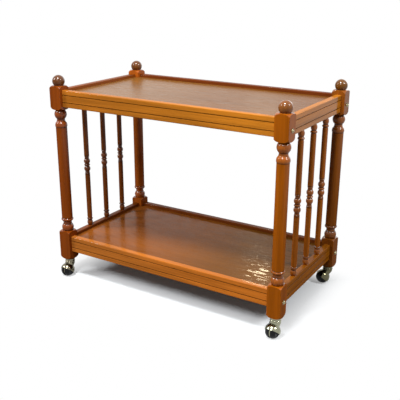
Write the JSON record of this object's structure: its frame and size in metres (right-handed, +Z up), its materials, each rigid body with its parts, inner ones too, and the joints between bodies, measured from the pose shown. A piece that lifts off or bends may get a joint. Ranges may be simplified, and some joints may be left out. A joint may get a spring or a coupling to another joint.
{
  "type": "tea trolley",
  "caption": "Two-tier wooden tea trolley with turned posts, ball finials, moulded rails round two tray tops, turned end spindles and hooded ball casters.",
  "frame": {"origin": "on the floor, at the middle of the four posts", "axes": "+X along the trolley to its right end, +Y from the front to the back, +Z up"},
  "size_m": [0.7726, 0.4502, 0.635],
  "materials": {
    "turned_post_wood": "satin-gloss lacquer over reddish brown stain",
    "rail_wood": "satin-gloss lacquer over orange-brown stain",
    "tray_veneer": "glossy lacquered veneer",
    "spindle_wood": "satin-gloss lacquer",
    "dowel_wood": "raw beech",
    "bolt_brass": "polished",
    "plated_steel": "zinc plated",
    "hood_brass": "pale polished brass plate",
    "wheel_plastic": "black, slightly glossy"
  },
  "bodies": {
    "frame": {"post_front_left": "turned_post_wood", "post_front_right": "turned_post_wood", "post_back_left": "turned_post_wood", "post_back_right": "turned_post_wood", "lower_front_rail": "rail_wood", "lower_back_rail": "rail_wood", "lower_left_rail": "rail_wood", "lower_right_rail": "rail_wood", "upper_front_rail": "rail_wood", "upper_back_rail": "rail_wood", "upper_left_rail": "rail_wood", "upper_right_rail": "rail_wood", "lower_tray_panel": "tray_veneer", "upper_tray_panel": "tray_veneer", "left_spindle_1": "spindle_wood", "left_spindle_2": "spindle_wood", "left_spindle_3": "spindle_wood", "right_spindle_1": "spindle_wood", "right_spindle_2": "spindle_wood", "right_spindle_3": "spindle_wood", "frame_bolts": "bolt_brass", "barrel_nuts": "plated_steel", "locating_dowels": "dowel_wood", "end_rail_dowels": "dowel_wood", "caster_socket_front_left": "plated_steel", "caster_socket_front_right": "plated_steel", "caster_socket_back_left": "plated_steel", "caster_socket_back_right": "plated_steel"},
    "caster_front_left": {"caster_stem_front_left": "plated_steel", "caster_hood_front_left": "hood_brass", "caster_axle_front_left": "plated_steel"},
    "wheel_front_left_1": {"caster_wheel_front_left_1": "wheel_plastic"},
    "wheel_front_left_2": {"caster_wheel_front_left_2": "wheel_plastic"},
    "caster_front_right": {"caster_stem_front_right": "plated_steel", "caster_hood_front_right": "hood_brass", "caster_axle_front_right": "plated_steel"},
    "wheel_front_right_1": {"caster_wheel_front_right_1": "wheel_plastic"},
    "wheel_front_right_2": {"caster_wheel_front_right_2": "wheel_plastic"},
    "caster_back_left": {"caster_stem_back_left": "plated_steel", "caster_hood_back_left": "hood_brass", "caster_axle_back_left": "plated_steel"},
    "wheel_back_left_1": {"caster_wheel_back_left_1": "wheel_plastic"},
    "wheel_back_left_2": {"caster_wheel_back_left_2": "wheel_plastic"},
    "caster_back_right": {"caster_stem_back_right": "plated_steel", "caster_hood_back_right": "hood_brass", "caster_axle_back_right": "plated_steel"},
    "wheel_back_right_1": {"caster_wheel_back_right_1": "wheel_plastic"},
    "wheel_back_right_2": {"caster_wheel_back_right_2": "wheel_plastic"}
  },
  "joints": [
    {"name": "swivel_front_left", "type": "hinge", "parent": "frame", "child": "caster_front_left", "pos_m": [-0.361, -0.19, 0.058], "axis": [0, 0, 1], "continuous": true},
    {"name": "roll_front_left_1", "type": "hinge", "parent": "caster_front_left", "child": "wheel_front_left_1", "pos_m": [-0.35995, -0.20496, 0.02002], "axis": [0.9976, 0.0698, 0], "continuous": true},
    {"name": "roll_front_left_2", "type": "hinge", "parent": "caster_front_left", "child": "wheel_front_left_2", "pos_m": [-0.35995, -0.20496, 0.02002], "axis": [0.9976, 0.0698, 0], "continuous": true},
    {"name": "swivel_front_right", "type": "hinge", "parent": "frame", "child": "caster_front_right", "pos_m": [0.361, -0.19, 0.058], "axis": [0, 0, 1], "continuous": true},
    {"name": "roll_front_right_1", "type": "hinge", "parent": "caster_front_right", "child": "wheel_front_right_1", "pos_m": [0.36022, -0.20498, 0.02002], "axis": [0.9986, -0.0523, 0], "continuous": true},
    {"name": "roll_front_right_2", "type": "hinge", "parent": "caster_front_right", "child": "wheel_front_right_2", "pos_m": [0.36022, -0.20498, 0.02002], "axis": [0.9986, -0.0523, 0], "continuous": true},
    {"name": "swivel_back_left", "type": "hinge", "parent": "frame", "child": "caster_back_left", "pos_m": [-0.361, 0.19, 0.058], "axis": [0, 0, 1], "continuous": true},
    {"name": "roll_back_left_1", "type": "hinge", "parent": "caster_back_left", "child": "wheel_back_left_1", "pos_m": [-0.36022, 0.20498, 0.02002], "axis": [-0.9986, 0.0523, 0], "continuous": true},
    {"name": "roll_back_left_2", "type": "hinge", "parent": "caster_back_left", "child": "wheel_back_left_2", "pos_m": [-0.36022, 0.20498, 0.02002], "axis": [-0.9986, 0.0523, 0], "continuous": true},
    {"name": "swivel_back_right", "type": "hinge", "parent": "frame", "child": "caster_back_right", "pos_m": [0.361, 0.19, 0.058], "axis": [0, 0, 1], "continuous": true},
    {"name": "roll_back_right_1", "type": "hinge", "parent": "caster_back_right", "child": "wheel_back_right_1", "pos_m": [0.34968, 0.18016, 0.02002], "axis": [0.6561, -0.7547, 0], "continuous": true},
    {"name": "roll_back_right_2", "type": "hinge", "parent": "caster_back_right", "child": "wheel_back_right_2", "pos_m": [0.34968, 0.18016, 0.02002], "axis": [0.6561, -0.7547, 0], "continuous": true}
  ]
}
